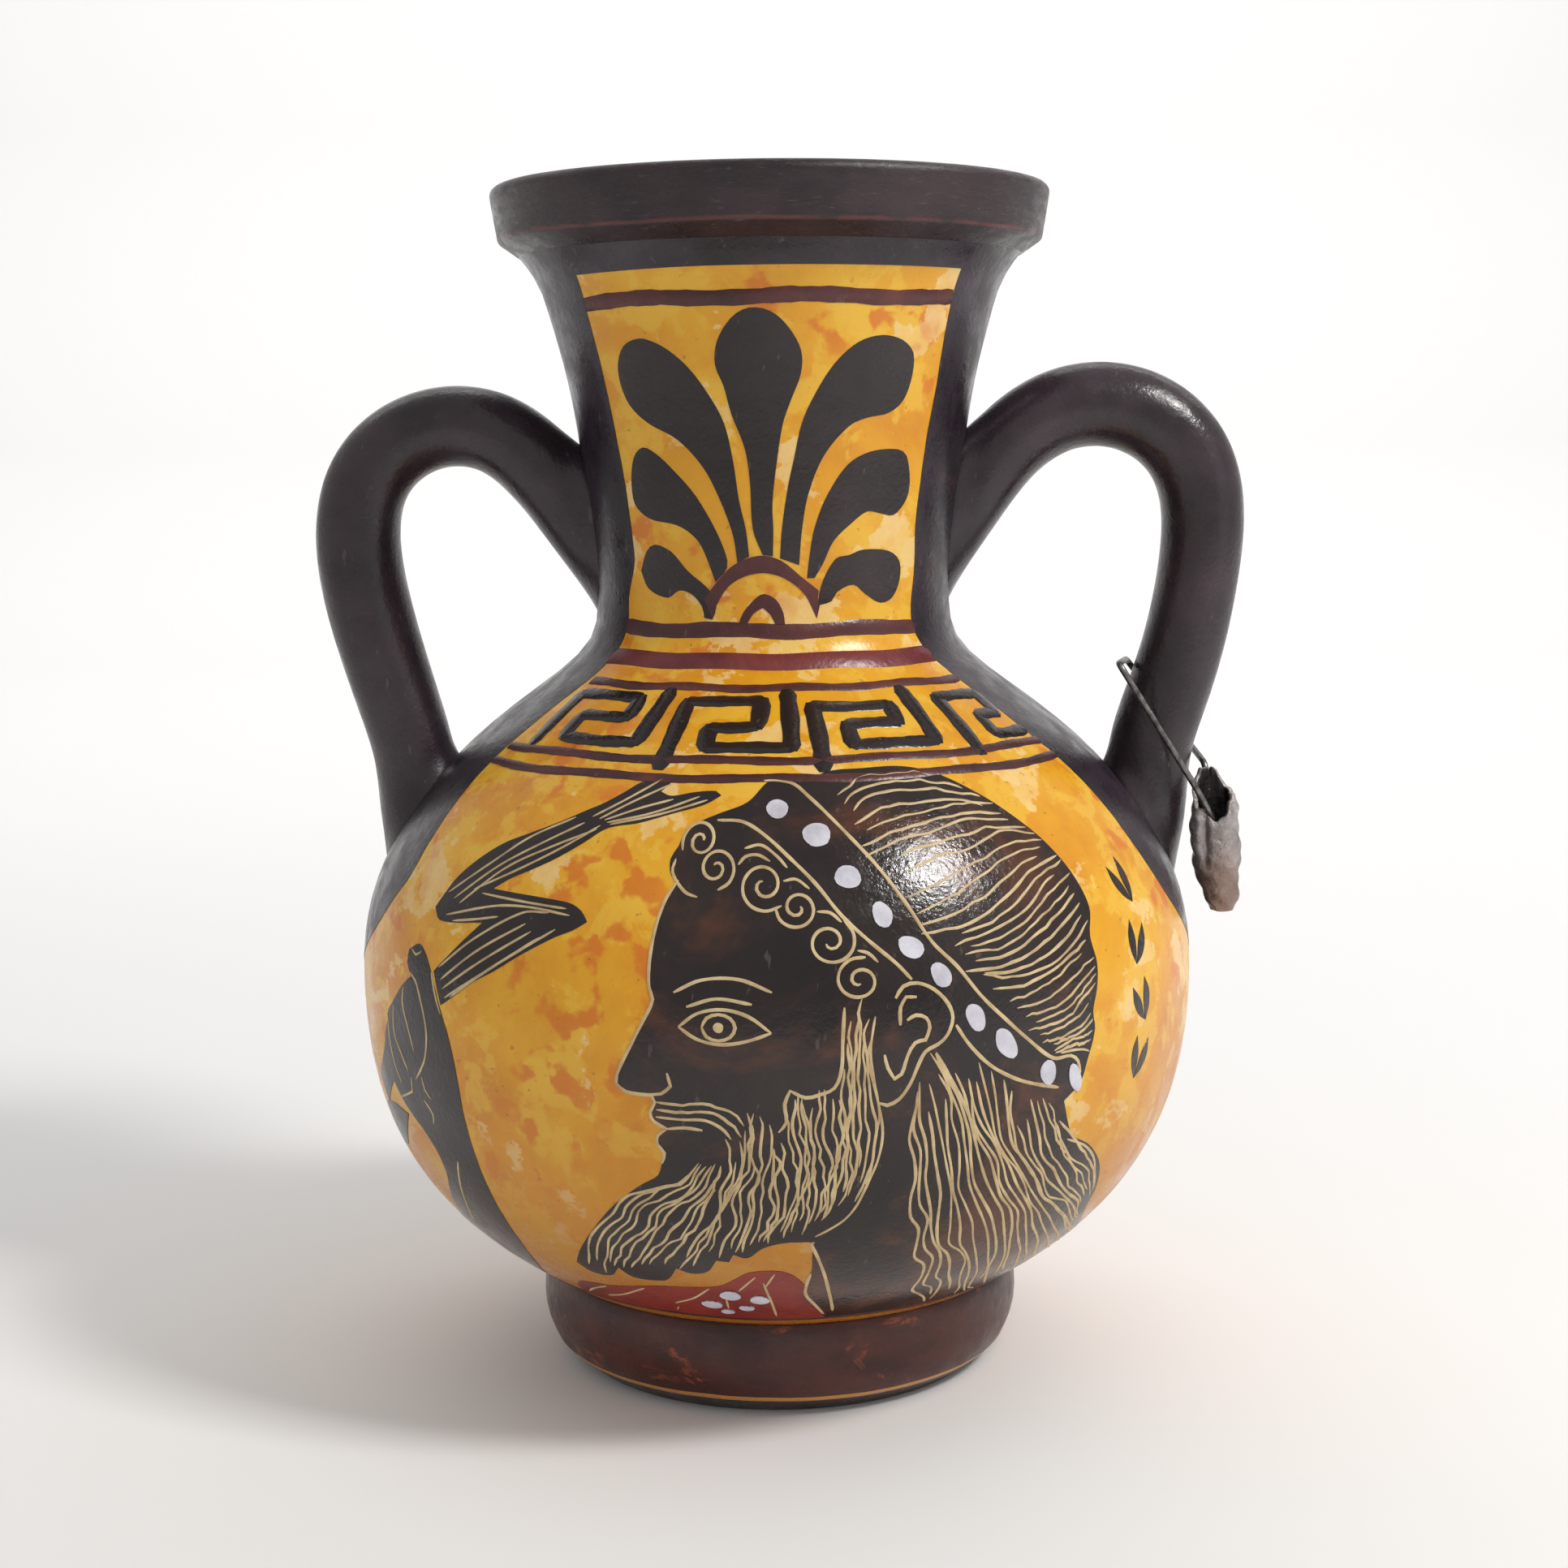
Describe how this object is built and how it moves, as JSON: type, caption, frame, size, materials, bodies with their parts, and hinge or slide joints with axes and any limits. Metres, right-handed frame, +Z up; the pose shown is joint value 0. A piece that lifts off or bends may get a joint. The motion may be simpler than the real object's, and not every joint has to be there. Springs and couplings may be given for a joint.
{
  "type": "amphora",
  "caption": "Small two-handled painted terracotta amphora with a round belly, flared neck, thick mouth ring, foot ring and a lead seal wired to one handle.",
  "frame": {"origin": "centre of the foot ring's resting face, on the pot's axis", "axes": "+Z up along the pot's axis, -Y towards the painted front, +X towards the handle that carries the seal"},
  "size_m": [0.1425, 0.128, 0.18],
  "materials": {
    "painted_clay": "satin",
    "black_slip": "satin",
    "foot_slip": "satin",
    "wire": "matte",
    "lead": "matte"
  },
  "bodies": {
    "pot": {"foot_ring": "foot_slip", "belly": "painted_clay", "neck": "painted_clay", "mouth_rim": "black_slip", "handle_left": "black_slip", "handle_right": "black_slip"},
    "seal_loop": {"seal_wire": "wire", "lead_seal": "lead"}
  },
  "joints": [
    {"name": "seal_swing", "type": "hinge", "parent": "pot", "child": "seal_loop", "pos_m": [0.05395, 0, 0.108], "axis": [0, -1, 0], "range_deg": [0, 70]}
  ]
}
